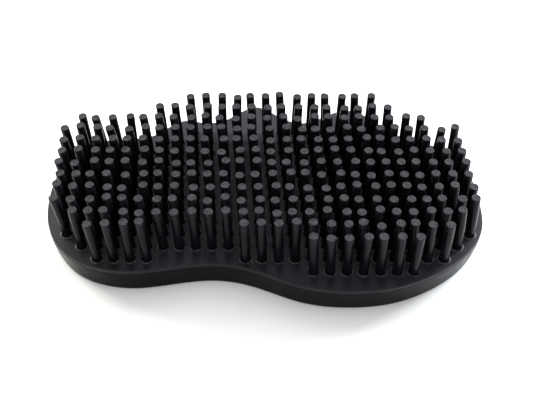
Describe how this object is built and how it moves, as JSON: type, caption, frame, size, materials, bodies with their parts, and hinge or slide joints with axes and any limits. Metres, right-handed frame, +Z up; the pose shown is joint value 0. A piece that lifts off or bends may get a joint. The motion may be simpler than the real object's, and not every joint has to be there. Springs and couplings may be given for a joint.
{
  "type": "rubber curry brush",
  "caption": "Palm-sized rubber grooming brush: a waisted block with finger rests and a field of flexible round pins.",
  "frame": {"origin": "middle of the underside, on the surface the brush lies on", "axes": "+X along the length, +Y from the waisted front edge to the finger rests, +Z up along the pins"},
  "size_m": [0.1388, 0.0796, 0.0273],
  "materials": {
    "body_rubber": "matte moulded rubber",
    "plate_rubber": "matte moulded rubber",
    "pin_rubber": "matte moulded rubber"
  },
  "bodies": {
    "brush": {"hand_body": "body_rubber", "pin_plate": "plate_rubber"},
    "pin_row_01": {"pin_row_01": "pin_rubber"},
    "pin_row_02": {"pin_row_02": "pin_rubber"},
    "pin_row_03": {"pin_row_03": "pin_rubber"},
    "pin_row_04": {"pin_row_04": "pin_rubber"},
    "pin_row_05": {"pin_row_05": "pin_rubber"},
    "pin_row_06": {"pin_row_06": "pin_rubber"},
    "pin_row_07": {"pin_row_07": "pin_rubber"},
    "pin_row_08": {"pin_row_08": "pin_rubber"},
    "pin_row_09": {"pin_row_09": "pin_rubber"},
    "pin_row_10": {"pin_row_10": "pin_rubber"},
    "pin_row_11": {"pin_row_11": "pin_rubber"},
    "pin_row_12": {"pin_row_12": "pin_rubber"},
    "pin_row_13": {"pin_row_13": "pin_rubber"}
  },
  "joints": [
    {"name": "pin_flex_01", "type": "hinge", "parent": "brush", "child": "pin_row_01", "pos_m": [0, -0.0326, 0.01045], "axis": [1, 0, 0], "range_deg": [-20, 20], "stiffness_Nm_per_rad": 0.0098},
    {"name": "pin_flex_02", "type": "hinge", "parent": "brush", "child": "pin_row_02", "pos_m": [0, -0.02785, 0.01045], "axis": [1, 0, 0], "range_deg": [-20, 20], "stiffness_Nm_per_rad": 0.0238},
    {"name": "pin_flex_03", "type": "hinge", "parent": "brush", "child": "pin_row_03", "pos_m": [0, -0.0231, 0.01045], "axis": [1, 0, 0], "range_deg": [-20, 20], "stiffness_Nm_per_rad": 0.0336},
    {"name": "pin_flex_04", "type": "hinge", "parent": "brush", "child": "pin_row_04", "pos_m": [0, -0.01835, 0.01045], "axis": [1, 0, 0], "range_deg": [-20, 20], "stiffness_Nm_per_rad": 0.0364},
    {"name": "pin_flex_05", "type": "hinge", "parent": "brush", "child": "pin_row_05", "pos_m": [0, -0.01335, 0.01045], "axis": [1, 0, 0], "range_deg": [-20, 20], "stiffness_Nm_per_rad": 0.0364},
    {"name": "pin_flex_06", "type": "hinge", "parent": "brush", "child": "pin_row_06", "pos_m": [0, -0.00835, 0.01045], "axis": [1, 0, 0], "range_deg": [-20, 20], "stiffness_Nm_per_rad": 0.0364},
    {"name": "pin_flex_07", "type": "hinge", "parent": "brush", "child": "pin_row_07", "pos_m": [0, -0.00335, 0.01045], "axis": [1, 0, 0], "range_deg": [-20, 20], "stiffness_Nm_per_rad": 0.0364},
    {"name": "pin_flex_08", "type": "hinge", "parent": "brush", "child": "pin_row_08", "pos_m": [0, 0.00165, 0.01045], "axis": [1, 0, 0], "range_deg": [-20, 20], "stiffness_Nm_per_rad": 0.0364},
    {"name": "pin_flex_09", "type": "hinge", "parent": "brush", "child": "pin_row_09", "pos_m": [0, 0.00665, 0.01045], "axis": [1, 0, 0], "range_deg": [-20, 20], "stiffness_Nm_per_rad": 0.0364},
    {"name": "pin_flex_10", "type": "hinge", "parent": "brush", "child": "pin_row_10", "pos_m": [0, 0.01165, 0.01045], "axis": [1, 0, 0], "range_deg": [-20, 20], "stiffness_Nm_per_rad": 0.0364},
    {"name": "pin_flex_11", "type": "hinge", "parent": "brush", "child": "pin_row_11", "pos_m": [0, 0.01665, 0.01045], "axis": [1, 0, 0], "range_deg": [-20, 20], "stiffness_Nm_per_rad": 0.0322},
    {"name": "pin_flex_12", "type": "hinge", "parent": "brush", "child": "pin_row_12", "pos_m": [0, 0.02165, 0.01045], "axis": [1, 0, 0], "range_deg": [-20, 20], "stiffness_Nm_per_rad": 0.0224},
    {"name": "pin_flex_13", "type": "hinge", "parent": "brush", "child": "pin_row_13", "pos_m": [0, 0.02665, 0.01045], "axis": [1, 0, 0], "range_deg": [-20, 20], "stiffness_Nm_per_rad": 0.0182}
  ],
  "couplings": [
    {"joint": "pin_flex_01", "follows": "pin_flex_07", "ratio": 1},
    {"joint": "pin_flex_02", "follows": "pin_flex_07", "ratio": 1},
    {"joint": "pin_flex_03", "follows": "pin_flex_07", "ratio": 1},
    {"joint": "pin_flex_04", "follows": "pin_flex_07", "ratio": 1},
    {"joint": "pin_flex_05", "follows": "pin_flex_07", "ratio": 1},
    {"joint": "pin_flex_06", "follows": "pin_flex_07", "ratio": 1},
    {"joint": "pin_flex_08", "follows": "pin_flex_07", "ratio": 1},
    {"joint": "pin_flex_09", "follows": "pin_flex_07", "ratio": 1},
    {"joint": "pin_flex_10", "follows": "pin_flex_07", "ratio": 1},
    {"joint": "pin_flex_11", "follows": "pin_flex_07", "ratio": 1},
    {"joint": "pin_flex_12", "follows": "pin_flex_07", "ratio": 1},
    {"joint": "pin_flex_13", "follows": "pin_flex_07", "ratio": 1}
  ]
}
